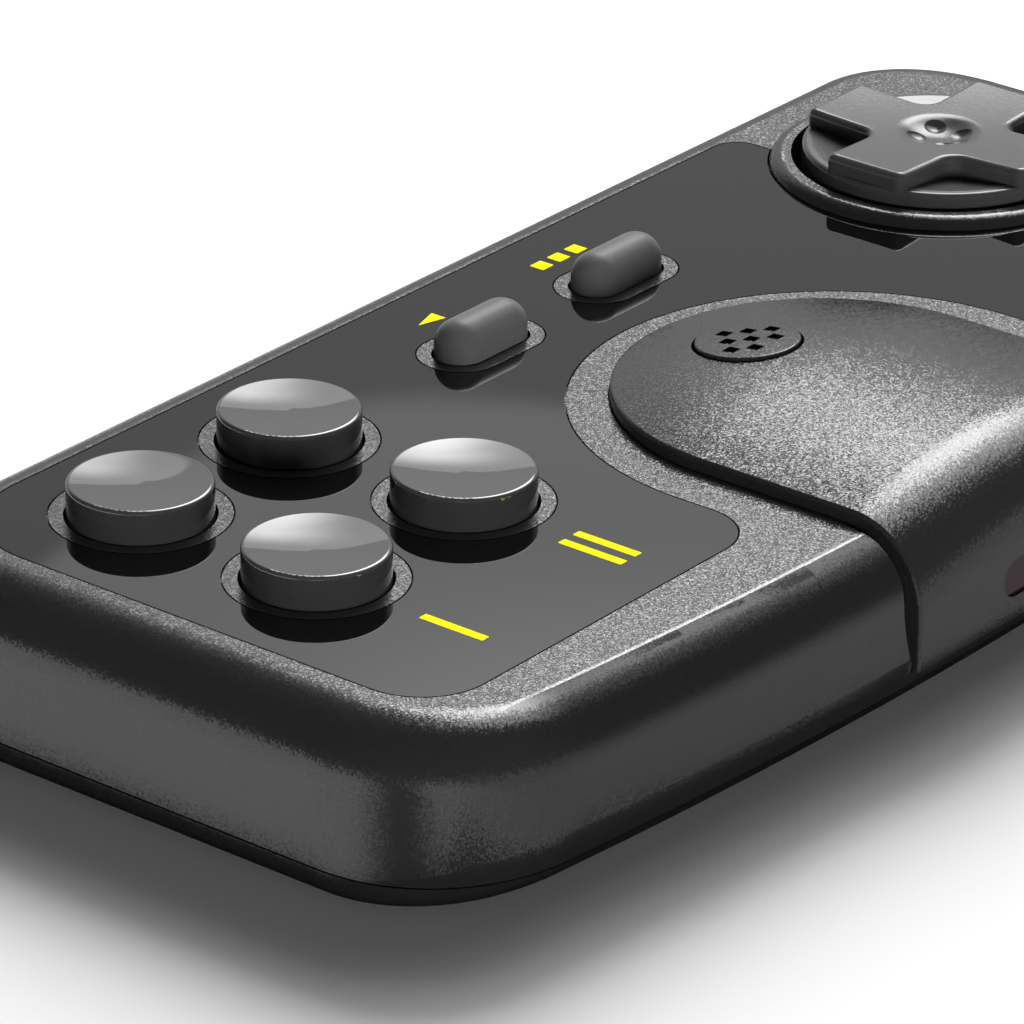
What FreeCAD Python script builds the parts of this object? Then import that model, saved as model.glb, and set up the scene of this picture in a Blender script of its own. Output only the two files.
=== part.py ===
import FreeCAD, Part
import math
import os
import re

import Sketcher
from FreeCAD import Placement, Rotation, Vector

# A flat two-handed game controller: a round direction pad on the left, four round action buttons on the
# right, two small pill buttons between them, and a raised battery cover that slides off at the back.
# +X is the player's right, +Y points away from the player, +Z is up; z = 0 is what the pad lies on.
# All sizes are in millimetres, and angles in degrees.
SIZES = {
    # casing: two shells that meet at a seam low on the wall
    "casing_length": 144.0,
    "casing_depth": 66.7,
    "casing_height": 16.0,
    "back_bow": 546.0,
    "front_corner": 13.0,
    "back_corner": 15.0,
    "end_round": 5.3,
    "back_round": 4.6,
    "front_round": 3.0,
    "bottom_round": 6.0,
    "bottom_end_round": 3.0,
    "wall": 2.0,
    "roof": 3.0,
    "floor": 2.0,
    "seam_height": 3.0,
    "seam_gap": 0.15,
    "lip_height": 1.2,
    "lip_inset": 1.6,
    "lip_width": 0.9,
    "lip_gap": 0.1,
    # glossy face plate, let in flush with the top of the casing
    "plate_thickness": 1.0,
    "plate_gap": 0.15,
    "plate_end_inset": 6.4,
    "plate_front_inset": 3.5,
    "plate_depth": 51.4,
    "plate_front_corner": 9.5,
    "plate_back_corner": 6.0,
    "plate_notch_corner": 5.0,
    "plate_tip": 6.8,
    "plate_tip_corner": 2.5,
    # four action buttons on a square
    "button_radius": 6.0,
    "button_pitch": 18.4,
    "buttons_x": 44.3,
    "buttons_inset": 24.1,
    "button_height": 2.9,
    "button_dish": 0.25,
    "button_edge": 0.3,
    "button_gap": 0.25,
    "button_travel": 1.4,
    "ring_width": 1.6,
    # two pill buttons
    "pill_length": 10.0,
    "pill_width": 4.6,
    "pill_height": 3.2,
    "pill_crown": 2.2,
    "pill_spacing": 18.8,
    "pills_x": 0.6,
    "pills_inset": 14.9,
    "pill_travel": 1.2,
    # what keeps every button in, under the roof
    "flange_width": 1.2,
    "flange_thickness": 1.2,
    "flange_gap": 0.2,
    # direction pad: a cross on a dished disc, rocking on a ball
    "dpad_x": -47.8,
    "dpad_inset": 21.7,
    "dpad_radius": 12.4,
    "dpad_gap": 1.0,
    "dpad_rim_height": 2.2,
    "dpad_rim_width": 0.9,
    "dpad_bowl": 1.2,
    "dpad_flange": 14.4,
    "dpad_flange_thickness": 1.0,
    "dpad_flange_drop": 1.7,
    "arm_reach": 11.9,
    "arm_width": 8.4,
    "arm_height": 3.8,
    "arm_hollow": 0.4,
    "arm_edge": 0.6,
    "arm_fork": 1.6,
    "hub_radius": 3.45,
    "hub_depth": 0.9,
    "hub_round": 2.5,
    "petal_radius": 1.6,
    "petal_reach": 1.7,
    "petal_depth": 0.25,
    "collar_radius": 15.5,
    "collar_height": 1.0,
    "ball_radius": 2.2,
    "ball_gap": 0.12,
    "pivot_drop": 6.0,
    "seat_radius": 3.2,
    "seat_drop": 0.7,
    "dpad_tilt": 4.0,
    # battery cover: a raised hood that runs over the back edge
    "cover_radius": 18.7,
    "cover_inset": 22.1,
    "cover_foot": 4.8,
    "cover_rise": 1.1,
    "cover_crown": 2.1,
    "cover_back_round": 7.3,
    "cover_edge": 0.35,
    "cover_proud": 0.6,
    "cover_wall": 1.6,
    "notch_radius": 23.8,
    "notch_inset": 20.4,
    "cover_bed": 1.5,
    "cover_gap": 0.15,
    "relief_radius": 18.0,
    "relief_width": 1.4,
    "relief_inset": 1.6,
    "relief_drop": 3.5,
    "cover_hollow": 2.4,
    "runner_x": 15.2,
    "runner_web": 1.2,
    "runner_foot": 1.2,
    "runner_foot_height": 0.75,
    "runner_inset": 26.8,
    "runner_length": 18.0,
    "runner_gap": 0.25,
    # round press pad on the cover, with square grip dimples
    "release_lead": 9.0,
    "release_radius": 4.5,
    "release_gap": 0.25,
    "release_height": 0.3,
    "release_flange": 0.7,
    "release_flange_thickness": 0.6,
    "release_travel": 0.4,
    "release_shoulder": 1.3,
    "dimple_size": 1.15,
    "dimple_depth": 0.35,
    "dimple_pitch": 1.43,
    "dimple_shift": 0.4,
    "spring_wire": 0.25,
    # dark window in the back of the cover, and the lamps behind it
    "window_length": 14.5,
    "window_height": 3.4,
    "window_drop": 7.4,
    "window_thickness": 1.3,
    "window_gap": 0.05,
    "lamp_width": 3.0,
    "lamp_depth": 2.2,
    "lamp_height": 1.8,
    "lamp_pitch": 4.2,
    # circuit board
    "board_drop": 9.6,
    "board_thickness": 1.6,
    "board_inset": 4.0,
    "board_gap": 0.4,
    "chip_size": 9.0,
    "chip_height": 1.4,
    "chip_margin": 1.0,
    # rubber switch sheets and the carbon discs in them
    "sheet_thickness": 1.0,
    "dome_wall": 0.8,
    "dome_radius": 6.0,
    "dome_margin": 1.0,
    "sheet_corner": 4.0,
    "dome_top": 3.4,
    "small_dome_radius": 3.8,
    "small_dome_top": 2.4,
    "dome_gap": 0.1,
    "dpad_dome_reach": 9.0,
    "disc_radius": 1.6,
    "disc_thickness": 0.6,
    # rechargeable pack in its bay
    "pack_length": 26.0,
    "pack_depth": 20.0,
    "pack_height": 9.0,
    "pack_inset": 9.3,
    "bay_gap": 0.3,
    "rib": 1.2,
    "contact_width": 2.0,
    "contact_leaf": 0.3,
    "contact_foot": 3.0,
    "contact_pitch": 6.0,
    # screws from below, and the posts that they run through
    "screw_radius": 1.25,
    "screw_head": 2.2,
    "screw_head_height": 1.5,
    "screw_sink": 0.4,
    "screw_length": 10.0,
    "screw_gap": 0.1,
    "post_radius": 3.0,
    "post_top": 9.0,
    "board_post_radius": 1.8,
    "front_screw_x_inset": 8.8,
    "front_screw_inset": 8.7,
    "back_screw_x_inset": 9.8,
    "back_screw_inset": 12.5,
    "middle_screw_inset": 6.7,
    "front_post_x": 25.0,
    "front_post_inset": 7.9,
    "middle_post_x": 27.0,
    "middle_post_inset": 23.8,
    "end_post_x_inset": 12.0,
    "end_post_inset": 22.8,
}

DEEP = 40.0
COS45 = math.sqrt(0.5)

doc = FreeCAD.newDocument("Gamepad")
sheet = doc.addObject("Spreadsheet::Sheet", "Sizes")
for row, (alias, number) in enumerate(SIZES.items(), start=1):
    sheet.set(f"A{row}", alias)
    sheet.set(f"B{row}", str(number))
    sheet.setAlias(f"B{row}", alias)
doc.recompute()


class Size:
    """The sheet's numbers by name, for shapes that are worked out here."""

    def __getattr__(self, alias):
        return float(sheet.get(alias))


size = Size()


# Levels and places that follow from the sizes

front = -(size.casing_depth + size.cover_proud) / 2
back = front + size.casing_depth
half_length = size.casing_length / 2
top = size.casing_height
ceiling = top - size.roof
bed = top - size.cover_bed
board_level = top - size.board_drop
board_top = board_level + size.board_thickness
pivot_level = top - size.pivot_drop
flange_top = ceiling - size.flange_gap
flange_base = flange_top - size.flange_thickness
dome_roof = flange_base - size.dome_gap
dpad_flange_top = ceiling - size.dpad_flange_drop
dpad_base = dpad_flange_top - size.dpad_flange_thickness
dpad_dome_roof = dpad_base - size.dome_gap
buttons_y = front + size.buttons_inset
pills_y = front + size.pills_inset
dpad_y = front + size.dpad_inset
cover_centre = back - size.cover_inset
notch_centre = back - size.notch_inset
release_y = cover_centre - size.release_lead
runner_start = back - size.runner_inset
pack_back = back - size.pack_inset
pack_front = pack_back - size.pack_depth
button_side = size.button_pitch / 2
button_places = [
    (size.buttons_x + side * button_side, buttons_y + row * button_side)
    for row in (1, -1)
    for side in (1, -1)
]
pill_places = [(size.pills_x + side * size.pill_spacing / 2, pills_y) for side in (-1, 1)]
dpad_place = (size.dpad_x, dpad_y)
screw_places = [
    (side * (half_length - x_inset), y)
    for x_inset, y in (
        (size.front_screw_x_inset, front + size.front_screw_inset),
        (size.back_screw_x_inset, back - size.back_screw_inset),
    )
    for side in (1, -1)
]
screw_places.append((size.pills_x, front + size.middle_screw_inset))
board_post_places = [
    (side * x, y)
    for x, y in (
        (size.front_post_x, front + size.front_post_inset),
        (size.middle_post_x, back - size.middle_post_inset),
        (half_length - size.end_post_x_inset, back - size.end_post_inset),
    )
    for side in (1, -1)
]


# Helpers that build objects of the document

PLACE = {"x": "Placement.Base.x", "y": "Placement.Base.y", "z": "Placement.Base.z"}


def formula(text):
    """An expression on the sheet, from plain size names."""
    names = re.compile(r"[a-z]\w*")
    return names.sub(lambda word: "Sizes." + word[0] if word[0] in SIZES else word[0], str(text))


def bind(item, **formulas):
    """Bind properties of an object to the sheet; x, y and z are its place."""
    for name, text in formulas.items():
        item.setExpression(PLACE.get(name, name), formula(text))
    return item


def cylinder(name, radius, height, x=0, y=0, z=0):
    return bind(doc.addObject("Part::Cylinder", name), Radius=radius, Height=height, x=x, y=y, z=z)


def cone(name, low, high, height, x=0, y=0, z=0):
    item = doc.addObject("Part::Cone", name)
    return bind(item, Radius1=low, Radius2=high, Height=height, x=x, y=y, z=z)


def ball(name, radius, x=0, y=0, z=0):
    return bind(doc.addObject("Part::Sphere", name), Radius=radius, x=x, y=y, z=z)


def dent(name, radius, x, y, lowest):
    """A ball that cuts a bowl down to a level, with its seam turned up and out of the bowl."""
    item = doc.addObject("Part::Sphere", name)
    item.Placement.Rotation = Rotation(Vector(0, 1, 0), -90)
    return bind(item, Radius=radius, x=x, y=y, z=f"{lowest} + {radius}")


def block(name, xs, ys, zs):
    """A box between two corners; each of xs, ys and zs is a pair of formulas."""
    spans = [f"({high}) - ({low})" for low, high in (xs, ys, zs)]
    item = doc.addObject("Part::Box", name)
    return bind(item, Length=spans[0], Width=spans[1], Height=spans[2], x=xs[0], y=ys[0], z=zs[0])


def fuse(name, *items):
    item = doc.addObject("Part::MultiFuse", name)
    item.Shapes = list(items)
    return item


def common(name, *items):
    item = doc.addObject("Part::MultiCommon", name)
    item.Shapes = list(items)
    return item


def cut(name, base, *tools):
    item = doc.addObject("Part::Cut", name)
    item.Base = base
    item.Tool = tools[0] if len(tools) == 1 else fuse(name + "_tools", *tools)
    return item


def group(name, *items):
    item = doc.addObject("Part::Compound", name)
    item.Links = list(items)
    return item


def round_edges(name, base, radii):
    """Round a shape's edges; radii gives an edge's two end radii, or None to leave it sharp."""
    doc.recompute()
    item = doc.addObject("Part::Fillet", name)
    item.Base = base
    chosen = [(place, radii(edge)) for place, edge in enumerate(base.Shape.Edges, start=1)]
    item.Edges = [(place, *pair) for place, pair in chosen if pair]
    return item


def edge_ends(edge):
    return edge.valueAt(edge.FirstParameter), edge.valueAt(edge.LastParameter)


def edge_middle(edge):
    return edge.valueAt((edge.FirstParameter + edge.LastParameter) / 2)


def new_body(name):
    return doc.addObject("PartDesign::Body", name)


def sketch(owner, plane, edges, level="0"):
    """A closed sketch on one of the body's own planes."""
    drawing = owner.newObject("Sketcher::SketchObject", owner.Name + "_sketch")
    support = next(item for item in owner.Origin.OriginFeatures if item.Role == plane)
    drawing.AttachmentSupport = [(support, "")]
    drawing.MapMode = "FlatFace"
    drawing.setExpression("AttachmentOffset.Base.z", formula(level))
    drawing.addGeometry(edges, False)
    for here in range(len(edges)):
        after = (here + 1) % len(edges)
        for end in (1, 2):
            for start in (1, 2):
                gap = drawing.getPoint(here, end).distanceToPoint(drawing.getPoint(after, start))
                if gap < 1e-6 and len(edges) > 2:
                    drawing.addConstraint(Sketcher.Constraint("Coincident", here, end, after, start))
    return drawing


def circle_sketch(owner, plane, radius, level="0", x=0.0, y=0.0):
    """A circle whose radius is bound to the sheet."""
    drawing = owner.newObject("Sketcher::SketchObject", owner.Name + "_circle")
    support = next(item for item in owner.Origin.OriginFeatures if item.Role == plane)
    drawing.AttachmentSupport = [(support, "")]
    drawing.MapMode = "FlatFace"
    drawing.setExpression("AttachmentOffset.Base.z", formula(level))
    drawing.addGeometry(Part.Circle(Vector(x, y, 0), Vector(0, 0, 1), 1.0), False)
    drawing.addConstraint(Sketcher.Constraint("Radius", 0, 1.0))
    drawing.setExpression("Constraints[0]", formula(radius))
    return drawing


def pad(owner, drawing, length):
    item = owner.newObject("PartDesign::Pad", owner.Name + "_pad")
    item.Profile = drawing
    return bind(item, Length=length)


def pocket(owner, drawing):
    """Cut a sketch right through, both ways."""
    item = owner.newObject("PartDesign::Pocket", owner.Name + "_pocket")
    item.Profile = drawing
    item.Type = "ThroughAll"
    item.SideType = "Symmetric"
    return item


def turned(name, edges):
    """A body turned about Z from a profile drawn in the XZ plane."""
    owner = new_body(name)
    drawing = sketch(owner, "XZ_Plane", edges)
    item = owner.newObject("PartDesign::Revolution", name + "_turn")
    item.Profile = drawing
    item.ReferenceAxis = (drawing, ["V_Axis"])
    item.Angle = 360
    return owner


def line(start, end):
    return Part.LineSegment(Vector(*start, 0), Vector(*end, 0))


def arc(start, middle, end):
    """An arc through three points."""
    return Part.ArcOfCircle(*[Vector(*point, 0) for point in (start, middle, end)])


def polygon(corners):
    """A closed outline through corners (x, y, rounding)."""
    count = len(corners)
    legs = []
    for place in range(count):
        here = Vector(*corners[place][:2], 0)
        before = Vector(*corners[place - 1][:2], 0)
        after = Vector(*corners[(place + 1) % count][:2], 0)
        to_before = (before - here).normalize()
        to_after = (after - here).normalize()
        half_angle = to_before.getAngle(to_after) / 2
        radius = corners[place][2]
        reach = radius / math.tan(half_angle)
        middle = here
        if radius:
            inward = (to_before + to_after).normalize()
            middle = here + inward * (radius / math.sin(half_angle) - radius)
        legs.append((here + to_before * reach, middle, here + to_after * reach, radius))
    edges = []
    for place, (start, middle, end, radius) in enumerate(legs):
        if radius:
            edges.append(arc((start.x, start.y), (middle.x, middle.y), (end.x, end.y)))
        following = legs[(place + 1) % count][0]
        if end.distanceToPoint(following) > 1e-6:
            edges.append(line((end.x, end.y), (following.x, following.y)))
    return edges


def casing_outline(inset):
    """The casing seen from above, drawn in by an inset: straight front and ends, a bowed back."""
    half = half_length - inset
    low = front + inset
    high = back - inset
    bow = size.back_bow - inset
    near = size.front_corner - inset
    far = size.back_corner - inset
    bow_centre = high - bow
    corner_x = half - far
    corner_y = bow_centre + math.sqrt((bow - far) ** 2 - corner_x**2)
    way = Vector(corner_x, corner_y - bow_centre, 0).normalize()
    touch = Vector(corner_x, corner_y, 0) + way * far
    bend = Vector(corner_x, corner_y, 0) + (way + Vector(1, 0, 0)).normalize() * far
    cut_in = near * (1 - COS45)
    return [
        line((near - half, low), (half - near, low)),
        arc((half - near, low), (half - cut_in, low + cut_in), (half, low + near)),
        line((half, low + near), (half, corner_y)),
        arc((half, corner_y), (bend.x, bend.y), (touch.x, touch.y)),
        arc((touch.x, touch.y), (0, high), (-touch.x, touch.y)),
        arc((-touch.x, touch.y), (-bend.x, bend.y), (-half, corner_y)),
        line((-half, corner_y), (-half, low + near)),
        arc((-half, low + near), (cut_in - half, low + cut_in), (near - half, low)),
    ]


def casing_block(name, inset, low, high):
    """The casing's outline, drawn in by an inset and padded between two levels."""
    owner = new_body(name)
    pad(owner, sketch(owner, "XY_Plane", casing_outline(inset), low), f"({high}) - ({low})")
    return owner


def casing_form(name, inset, low, high):
    """A casing block with rounded top and bottom edges, each side with a rounding of its own."""
    sharp = casing_block(name + "_block", inset, low, high)

    def rounding(point):
        at_end = abs(abs(point.x) - half_length + inset) < 1e-3
        if point.z < top / 2:
            return (size.bottom_end_round if at_end else size.bottom_round) - inset
        if at_end:
            return size.end_round - inset
        return (size.back_round if point.y > 0 else size.front_round) - inset

    def radii(edge):
        start, end = edge_ends(edge)
        if abs(start.z - end.z) > 1e-6 or abs(start.z - edge_middle(edge).z) > 1e-6:
            return None
        return rounding(start), rounding(end)

    return round_edges(name, sharp, radii)


def tube(name, outer, inner, height, x=0, y=0, z=0):
    solid = cylinder(name + "_outside", outer, height, x, y, z)
    return cut(name, solid, cylinder(name + "_inside", inner, height, x, y, z))


def placed(item, x, y, z=0):
    """Move a finished body or boolean to its place."""
    return bind(item, x=x, y=y, z=z)


# Outlines shared by a piece and the space that takes it


def plate_block(name, grow, low, high):
    """The face plate's outline, grown by a gap: notched round the cover and open round the pad."""
    end = half_length - size.plate_end_inset + grow
    near = front + size.plate_front_inset - grow
    far = front + size.plate_front_inset + size.plate_depth + grow
    notch = size.notch_radius - grow
    tip = size.plate_tip - grow
    corners = [
        (size.dpad_x + tip, near, size.plate_tip_corner + grow),
        (end, near, size.plate_front_corner + grow),
        (end, far, size.plate_back_corner + grow),
        (notch, far, size.plate_notch_corner + grow),
        (notch, notch_centre, 0),
        (-notch, notch_centre, 0),
        (-notch, far, size.plate_notch_corner + grow),
        (-end, far, size.plate_back_corner + grow),
        (-end, dpad_y + tip, size.plate_tip_corner + grow),
        (size.dpad_x + tip, dpad_y + tip, 0),
    ]
    owner = new_body(name)
    pad(owner, sketch(owner, "XY_Plane", polygon(corners), low), f"({high}) - ({low})")
    arch = circle_sketch(owner, "XY_Plane", f"notch_radius - {grow}", low, 0, notch_centre)
    pocket(owner, arch)
    pocket(owner, circle_sketch(owner, "XY_Plane", f"collar_radius - {grow}", low, *dpad_place))
    return owner


def stadium(length, width):
    reach = (length - width) / 2
    half = width / 2
    return [
        line((-reach, -half), (reach, -half)),
        arc((reach, -half), (reach + half, 0), (reach, half)),
        line((reach, half), (-reach, half)),
        arc((-reach, half), (-reach - half, 0), (-reach, -half)),
    ]


def pill_block(name, grow, low, high, place):
    """A pill button's outline, grown by a margin, padded between two levels."""
    owner = new_body(name)
    outline = stadium(size.pill_length + 2 * grow, size.pill_width + 2 * grow)
    pad(owner, sketch(owner, "XY_Plane", outline, low), f"({high}) - ({low})")
    return placed(owner, *place)


def dome_radius():
    """The radius of the cover's crowned top."""
    return (size.cover_radius**2 + size.cover_crown**2) / (2 * size.cover_crown)


def dome_height(x, y, lift=0.0):
    """The height of the cover's top: a ball over the nose, and a round beam behind it."""
    reach = math.hypot(x, min(y - cover_centre, 0.0))
    apex = top + size.cover_rise + size.cover_crown + lift
    return apex - dome_radius() + math.sqrt(dome_radius() ** 2 - reach**2)


def dome_block(name, lift):
    """All that lies under the cover's crowned top."""
    level = dome_height(0, back, lift) - dome_radius()
    nose = doc.addObject("Part::Sphere", name + "_ball")
    nose.Placement.Rotation = Rotation(Vector(0, 1, 0), 90)
    bind(nose, Radius=dome_radius(), y=cover_centre, z=level)
    beam = doc.addObject("Part::Cylinder", name + "_beam")
    beam.Placement.Rotation = Rotation(Vector(1, 0, 0), -90)
    bind(beam, Radius=dome_radius(), Height=DEEP, y=cover_centre, z=level)
    return fuse(name, nose, beam)


def cover_plan(name, grow, low, high):
    """The cover seen from above, grown by a gap: a half circle with straight sides to the back."""
    nose = cylinder(name + "_nose", f"cover_radius + {grow}", f"({high}) - ({low})", 0, cover_centre, low)
    sides = (f"-cover_radius - {grow}", f"cover_radius + {grow}")
    return fuse(name, nose, block(name + "_sides", sides, (cover_centre, DEEP), (low, high)))


# The two casing shells


def make_casing():
    """Top and bottom shells, with the posts, seats and openings that hold everything else."""
    outer = casing_form("outer_form", 0.0, "0", "casing_height")
    inner = casing_form("inner_form", size.wall, "floor", "casing_height - roof")
    upper_room = block("upper_room", (-2 * DEEP, 2 * DEEP), (-DEEP, DEEP), ("seam_height + seam_gap", DEEP))
    lower_room = block("lower_room", (-2 * DEEP, 2 * DEEP), (-DEEP, DEEP), ("0", "seam_height"))

    # Top shell
    shell = cut("top_shell", common("top_form", outer, upper_room), inner)
    extras = [make_collar()]
    holes = [plate_recess(), dpad_well(), *cover_bedding(), window_opening()]
    for number, (x, y) in enumerate(button_places, start=1):
        holes.append(cylinder(f"button_hole_{number}", "button_radius + button_gap", DEEP, x, y, ceiling - 1))
    for number, place in enumerate(pill_places, start=1):
        holes.append(pill_block(f"pill_hole_{number}", size.button_gap, ceiling - 1, DEEP, place))
    for number, (x, y) in enumerate(screw_places, start=1):
        boss_height = "casing_height - roof / 2 - post_top"
        extras.append(cylinder(f"boss_{number}", "post_radius", boss_height, x, y, "post_top"))
        depth = "screw_sink + screw_head_height + screw_length + screw_gap"
        holes.append(cylinder(f"pilot_{number}", "screw_radius + screw_gap / 2", depth, x, y, 0))
    rebate = casing_block("rebate_block", size.lip_inset, "seam_height - 1", "seam_height + lip_height")
    top_casing = cut("top_casing", fuse("top_solid", shell, *extras), *holes, rebate)

    # Bottom shell
    tray = cut("tray", common("tray_form", outer, lower_room), inner)
    lip_outside = size.lip_inset + size.lip_gap
    ring = casing_block("lip_block", lip_outside, "seam_height - lip_height", "seam_height + lip_height")
    lip_inside = lip_outside + size.lip_width
    room = casing_block("lip_room", lip_inside, "seam_height - 2 * lip_height", "seam_height + 2 * lip_height")
    extras = [common("lip", cut("lip_ring", ring, room), outer), *bay_ribs()]
    seat_height = f"{pivot_level} - seat_drop - floor / 2"
    extras.append(cylinder("ball_seat", "seat_radius", seat_height, *dpad_place, "floor / 2"))
    holes = [ball("ball_hollow", "ball_radius + ball_gap", *dpad_place, pivot_level)]
    for number, (x, y) in enumerate(board_post_places, start=1):
        height = f"{board_level} - floor / 2"
        extras.append(cylinder(f"board_post_{number}", "board_post_radius", height, x, y, "floor / 2"))
    for number, (x, y) in enumerate(screw_places, start=1):
        extras.append(cylinder(f"post_{number}", "post_radius", "post_top - floor / 2", x, y, "floor / 2"))
        holes.append(cylinder(f"shank_hole_{number}", "screw_radius + screw_gap", DEEP, x, y, 0))
        depth = "screw_sink + screw_head_height"
        holes.append(cylinder(f"head_hole_{number}", "screw_head + screw_gap", depth, x, y, 0))
    bottom_casing = cut("bottom_casing", fuse("bottom_solid", tray, *extras), *holes)
    return [top_casing, bottom_casing]


def make_collar():
    """The rounded lip round the direction pad's well."""
    inner = size.dpad_radius + size.dpad_gap
    outer = size.collar_radius - size.plate_gap
    crest = top + size.collar_height
    root = top - size.roof / 2
    shoulder = inner + (outer - inner) * 0.3
    profile = [
        line((inner, root), (outer, root)),
        line((outer, root), (outer, top)),
        arc(
            (outer, top),
            (shoulder + (outer - shoulder) * COS45, top + size.collar_height * COS45),
            (shoulder, crest),
        ),
        line((shoulder, crest), (inner, crest)),
        line((inner, crest), (inner, root)),
    ]
    return placed(turned("collar", profile), *dpad_place)


def plate_recess():
    """The bed for the face plate, with the casing standing flush in the plate's holes."""
    grow = size.plate_gap
    space = plate_block("recess_block", grow, "casing_height - plate_thickness", DEEP)
    rise = "plate_thickness + 1"
    level = "casing_height - plate_thickness - 1"
    islands = []
    for number, (x, y) in enumerate(button_places, start=1):
        radius = "button_radius + ring_width - plate_gap"
        islands.append(cylinder(f"island_{number}", radius, rise, x, y, level))
    for number, place in enumerate(pill_places, start=1):
        margin = size.ring_width - size.plate_gap
        islands.append(pill_block(f"pill_island_{number}", margin, level, "casing_height", place))
    return cut("plate_recess", space, *islands)


def dpad_well():
    return cylinder("dpad_well", "dpad_radius + dpad_gap", DEEP, *dpad_place, ceiling - 1)


def cover_bedding():
    """The sunk bed for the cover, its bay opening, and the slots that its runners slide in."""
    low = "cover_foot - cover_gap"
    side = "cover_radius + cover_gap + relief_width - relief_radius"
    place = (f"{back} - relief_inset", "casing_height - relief_drop")
    reliefs = [ball(f"relief_{number}", "relief_radius", x, *place) for number, x in enumerate((side, f"-({side})"), start=1)]
    above_foot = block("relief_limit", (-2 * DEEP, 2 * DEEP), (-DEEP, DEEP), (low, DEEP))
    space = fuse(
        "bed_space",
        cover_plan("bed_plan", size.cover_gap, low, DEEP),
        common("bed_reliefs", fuse("relief_balls", *reliefs), above_foot),
    )
    inset = size.cover_wall - size.cover_proud + size.cover_gap
    kept = casing_form("bed_core", inset, "0", "casing_height - cover_bed")
    half = "pack_length / 2 + bay_gap"
    reach = (f"{pack_front} - bay_gap", f"{pack_back} + bay_gap")
    opening = block("bay_opening", (f"-{half.replace(' +', ' -')}", half), reach, (ceiling - 1, DEEP))
    slots = []
    for number, side in enumerate((-1, 1), start=1):
        web = [side * (size.runner_x - size.runner_gap), side * (size.runner_x + size.runner_web + size.runner_gap)]
        foot = side * (size.runner_x + size.runner_web + size.runner_foot + size.runner_gap)
        run = (f"{runner_start} - runner_gap", DEEP)
        slots.append(block(f"runner_slot_{number}", sorted(web), run, (ceiling - 1, top)))
        low = ceiling - size.cover_gap - size.runner_foot_height - size.runner_gap
        notch = sorted((web[0], foot))
        reach = (back - size.wall - size.end_round, DEEP)
        slots.append(block(f"runner_notch_{number}", notch, reach, (low, top)))
    return [cut("cover_bed", space, kept), opening, *slots]


def window_opening():
    """The way out for the lamps' light, through the casing behind the window."""
    half = size.window_length / 2 - 0.5
    middle = top - size.window_drop
    levels = (f"{middle} - window_height / 2", f"{middle} + window_height / 2")
    return block("lamp_opening", (-half, half), (back - 2 * size.wall, DEEP), levels)


def bay_ribs():
    """Low walls round the rechargeable pack, standing on the floor."""
    inside = size.pack_length / 2 + size.bay_gap
    rear = pack_back + size.bay_gap
    levels = ("floor / 2", ceiling - size.bay_gap)
    ribs = [block("rear_rib", (-inside - size.rib, inside + size.rib), (rear, rear + size.rib), levels)]
    for number, side in enumerate((-1, 1), start=1):
        xs = sorted((side * inside, side * (inside + size.rib)))
        ribs.append(block(f"side_rib_{number}", xs, (pack_front, rear + size.rib), levels))
    return ribs


# Pieces that show


def make_face_plate():
    item = plate_block("plate_sheet", 0.0, "casing_height - plate_thickness", "casing_height")
    holes = []
    for number, (x, y) in enumerate(button_places, start=1):
        holes.append(cylinder(f"plate_hole_{number}", "button_radius + ring_width", DEEP, x, y, ceiling))
    for number, place in enumerate(pill_places, start=1):
        holes.append(pill_block(f"plate_slot_{number}", size.ring_width, ceiling, DEEP, place))
    return cut("face_plate", item, *holes)


def make_face_button(number, place):
    """A round button with a shallow dish and a flange that stays under the roof."""
    radius = size.button_radius
    crest = top + size.button_height
    edge = size.button_edge
    rim = radius - edge
    flange = radius + size.flange_width
    bend = edge * (1 - COS45)
    bowl = (rim**2 + size.button_dish**2) / (2 * size.button_dish)
    halfway = crest - size.button_dish + bowl - math.sqrt(bowl**2 - (rim / 2) ** 2)
    profile = [
        line((0, flange_base), (flange, flange_base)),
        line((flange, flange_base), (flange, flange_top)),
        line((flange, flange_top), (radius, flange_top)),
        line((radius, flange_top), (radius, crest - edge)),
        arc((radius, crest - edge), (radius - bend, crest - bend), (rim, crest)),
        arc((rim, crest), (rim / 2, halfway), (0, crest - size.button_dish)),
        line((0, crest - size.button_dish), (0, flange_base)),
    ]
    return placed(turned(f"face_button_{number}", profile), *place)


def make_pill_button(name, place):
    """A rubber pill with a fully rounded crown and a flange under the roof."""
    crest = top + size.pill_height
    stem = pill_block(name + "_stem", 0.0, flange_base, crest, place)

    def radii(edge):
        return (size.pill_crown, size.pill_crown) if edge.BoundBox.ZMin > crest - 1e-6 else None

    crown = round_edges(name + "_crown", stem, radii)
    flange = pill_block(name + "_flange", size.flange_width, flange_base, flange_top, place)
    return fuse(name, crown, flange)


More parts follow.
